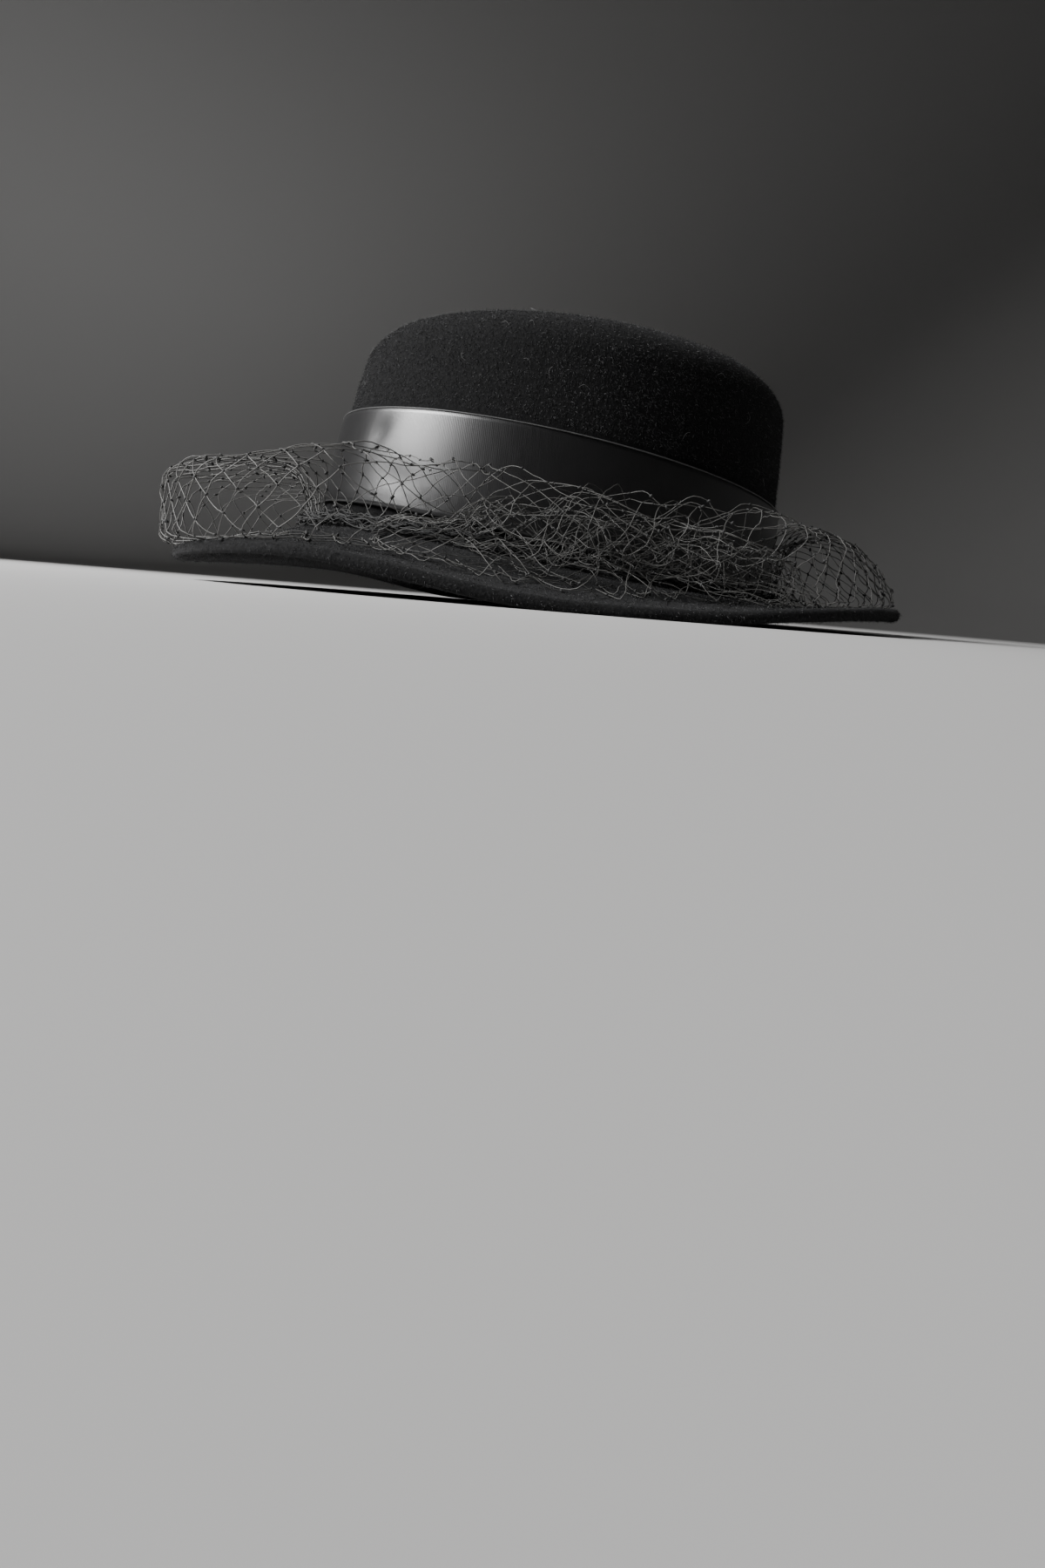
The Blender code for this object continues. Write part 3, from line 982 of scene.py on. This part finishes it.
def add_knots(name, places, seed, material):
    """Small flattened knots, one at each crossing."""
    shape = bmesh.new()
    bmesh.ops.create_icosphere(shape, subdivisions=1, radius=KNOT / 2)
    ball = np.array([vert.co for vert in shape.verts])
    shape.verts.index_update()
    sides = np.array([[vert.index for vert in face.verts] for face in shape.faces])
    shape.free()
    draw = np.random.default_rng(seed)
    points, faces = [], []
    for index, place in enumerate(places):
        spin = Matrix.Rotation(draw.uniform(0, math.pi), 3, Vector(draw.normal(size=3)).normalized())
        size = draw.uniform(*KNOT_SIZES) * (1 - FOLDED_SMALLER * folded_share(place))
        stretch = np.array(KNOT_SHAPE) * size
        points.append((ball * stretch) @ np.array(spin) + np.array(place))
        faces.append(sides + index * len(ball))
    mesh = mesh_from_arrays(name, np.vstack(points), np.vstack(faces))
    mesh.shade_smooth()
    piece = add_object(name, mesh, material)
    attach(piece, "root")


def add_gathers(material):
    """Threads drawn together along the crown's foot."""
    curve = new_curve("net_gathers", THREAD * GATHER_THICKER)
    for strand in range(GATHER_STRANDS):
        spline = curve.splines.new("POLY")
        spline.points.add(GATHER_STEPS - 1)
        spline.use_cyclic_u = True
        for step in range(GATHER_STEPS):
            turn = 2 * math.pi * step / GATHER_STEPS
            ring = Vector((math.sin(turn), math.cos(turn), strand * 0.9)) * GATHER_PITCH
            sway = noise.noise_vector(ring) + noise.noise_vector(ring * 3.1) * 0.6
            out = GATHER_OUT + GATHER_OUT_SWAY * sway.x + 0.0004 * (strand % GATHER_LAYERS)
            up = GATHER_UP + GATHER_UP_SWAY * sway.y + 0.0006 * (strand // GATHER_LAYERS)
            point = over_brim(turn, max(out, NET_NEAREST), max(up, NET_CLEAR + THREAD / 2))
            spline.points[step].co = (*kept_clear(point), 1)
    mesh = curve_mesh(curve)
    mesh.shade_smooth()
    piece = add_object("net_gathers", mesh, material)
    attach(piece, "root")


def add_net(thread, knot):
    """The whole puff, the fallen layers of both sides, the knots of all of them, the gathers."""
    puff, knots = make_layer(
        "net_puff",
        seed=3,
        columns=CELLS_ROUND,
        turns=(0.0, 2 * math.pi),
        tighter=1.0,
        wander=0.0032,
        slant=0.30,
        material=thread,
    )
    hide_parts("net_veil")
    for side, side_name in ((1, "left"), (-1, "right")):
        for row in LAYER_TABLE:
            layer = dict(zip(LAYER_COLUMNS, row))
            folds, found = make_layer(
                layer["name"] + "_" + side_name,
                seed=layer["seed"] * side,
                columns=layer["cells"],
                turns=sorted(side * math.radians(layer[end]) for end in ("from_deg", "to_deg")),
                tighter=layer["rise"],
                wander=layer["wander"],
                slant=layer["slant"] * side,
                material=thread,
            )
            knots += found
    add_knots("net_knots", knots, seed=5, material=knot)
    add_gathers(knot)


# Studio


def turned_stage(material):
    """A seamless bowl, so that every view has the same pale ground behind the hat."""
    shape = bmesh.new()
    profile = [(0.0, 0.0), (FLOOR_RADIUS * 0.5, 0.0), (FLOOR_RADIUS, 0.0)]
    for step in range(1, SWEEP_STEPS + 1):
        angle = math.pi / 2 * step / SWEEP_STEPS
        radius = FLOOR_RADIUS + SWEEP_RADIUS * math.sin(angle)
        profile.append((radius, SWEEP_RADIUS * (1 - math.cos(angle))))
    profile.append((WALL_RADIUS, WALL_HEIGHT))
    verts = [shape.verts.new((x, 0, z)) for x, z in profile]
    edges = [shape.edges.new(pair) for pair in zip(verts, verts[1:])]
    bmesh.ops.spin(
        shape,
        geom=verts + edges,
        cent=(0, 0, 0),
        axis=(0, 0, 1),
        angle=2 * math.pi,
        steps=STAGE_SIDES,
        use_merge=True,
    )
    bmesh.ops.remove_doubles(shape, verts=shape.verts, dist=0.0001)
    bmesh.ops.recalc_face_normals(shape, faces=shape.faces)
    bmesh.ops.reverse_faces(shape, faces=shape.faces)
    mesh = bpy.data.meshes.new("studio_ground")
    shape.to_mesh(mesh)
    shape.free()
    mesh.shade_smooth()
    ground = add_object("studio_ground", mesh, material)


def ground_material():
    """Plain pale paint."""
    material, nodes, links, shader = new_material("pale_ground")
    shader.inputs["Base Color"].default_value = (0.56, 0.555, 0.55, 1)
    shader.inputs["Roughness"].default_value = 0.9
    return material


def add_light(name, turn, lift, distance, size, watts, spread=math.pi):
    """A soft light at a turn and a lift from the hat, facing it."""
    light = bpy.data.lights.new(name, "AREA")
    light.shape = "RECTANGLE"
    light.size = size
    light.size_y = size * LIGHT_TALLER
    light.energy = watts
    light.spread = spread
    lamp = bpy.data.objects.new(name, light)
    way = Vector((math.sin(turn) * math.cos(lift), -math.cos(turn) * math.cos(lift), math.sin(lift)))
    lamp.location = LIGHT_TARGET + way * distance
    lamp.rotation_euler = way.to_track_quat("Z", "Y").to_euler()
    bpy.context.scene.collection.objects.link(lamp)
    return lamp


def add_world():
    """A little even light from all sides."""
    world = bpy.data.worlds.new("soft_room")
    world.use_nodes = True
    back = world.node_tree.nodes["Background"]
    back.inputs["Color"].default_value = (1, 1, 1, 1)
    back.inputs["Strength"].default_value = WORLD_LIGHT
    bpy.context.scene.world = world


def add_camera():
    """The photo's view: its direction and roll on the hat, from a place above the floor."""
    right = Vector((math.cos(CAMERA_TURN), math.sin(CAMERA_TURN), 0))
    level = Vector((-math.sin(CAMERA_TURN), math.cos(CAMERA_TURN), 0))
    up = Vector((0, 0, 1))
    down = -up * math.cos(CAMERA_DOWN) - level * math.sin(CAMERA_DOWN)
    ahead = level * math.cos(CAMERA_DOWN) - up * math.sin(CAMERA_DOWN)
    cos, sin = math.cos(CAMERA_ROLL), math.sin(CAMERA_ROLL)
    x_way = right * cos - down * sin
    y_way = right * sin + down * cos
    data = bpy.data.cameras.new("photo_view")
    data.sensor_fit = "VERTICAL"
    data.sensor_height = SENSOR_SIZE
    data.lens = FOCAL_PIXELS / PHOTO_HEIGHT * SENSOR_SIZE
    data.shift_y = -HAT_MOVED_UP / PHOTO_HEIGHT
    data.clip_start = CLIP_START
    data.clip_end = CLIP_END
    camera = bpy.data.objects.new("photo_view", data)
    turn = Matrix((x_way, -y_way, -ahead)).transposed()
    camera.matrix_world = Matrix.Translation(CAMERA_PLACE) @ turn.to_4x4()
    bpy.context.scene.collection.objects.link(camera)
    bpy.context.scene.camera = camera


def light_studio():
    """A bright narrow light, a wide weak one, and one for the wall behind the hat."""
    add_world()
    add_light("key", KEY_TURN, KEY_LIFT, KEY_DISTANCE, KEY_SIZE, KEY_WATTS, KEY_SPREAD)
    add_light("fill", FILL_TURN, FILL_LIFT, FILL_DISTANCE, FILL_SIZE, FILL_WATTS)
    backdrop = add_light("backdrop", BACKDROP_TURN, FILL_LIFT, BACKDROP_DISTANCE, FILL_SIZE, BACKDROP_WATTS)
    # This one is turned round, to face away from the hat
    away = Vector((math.sin(BACKDROP_TURN), -math.cos(BACKDROP_TURN), BACKDROP_AIM_UP))
    backdrop.rotation_euler = away.to_track_quat("-Z", "Y").to_euler()


def main():
    """The studio, then the felt, the ribbon and the net."""
    add_camera()
    light_studio()
    turned_stage(ground_material())

    speckle = felt_group()
    crown = felt_shell("crown", "crown_felt", felt_material("crown_wool", speckle, **CROWN_WOOL))
    brim = felt_shell("brim", "brim_felt", felt_material("brim_wool", speckle, **BRIM_WOOL))
    wool_hair = hair_material("wool_hair", (0.006, 0.006, 0.006), (0.17, 0.17, 0.174))
    wool_down = hair_material("wool_down", (0.006, 0.006, 0.006), (0.06, 0.06, 0.062))
    pale_hair = hair_material("pale_hair", (0.25, 0.25, 0.25), (0.5, 0.5, 0.5))
    add_nap("crown_nap", crown, CROWN_HAIRS, seed=41, keep=on_open_crown, material=wool_hair)
    add_nap("crown_down", crown, CROWN_HAIRS, seed=42, keep=on_open_crown, material=wool_down)
    add_nap("brim_nap", brim, BRIM_HAIRS, seed=43, keep=on_open_brim, material=wool_hair)
    add_nap("brim_down", brim, BRIM_HAIRS, seed=44, keep=on_open_brim, material=wool_down)
    add_stray_hairs(crown, pale_hair)

    ribbon = add_ribbon(ribbon_material())
    # Painted highlight: the cord is given a grey far lighter than the black ribbon, for the light along its
    # top edge
    selvedge = add_selvedge(thread_material("selvedge_cord_painted_highlight", (0.05, 0.05, 0.05), (0.12, 0.12, 0.12), 0.45))
    thread = thread_material("veil_thread", (0.045, 0.044, 0.043), (0.20, 0.197, 0.19), 0.5)
    knot = thread_material("veil_knot", (0.012, 0.012, 0.012), (0.06, 0.06, 0.06), 0.7)
    add_net(thread, knot)


main()
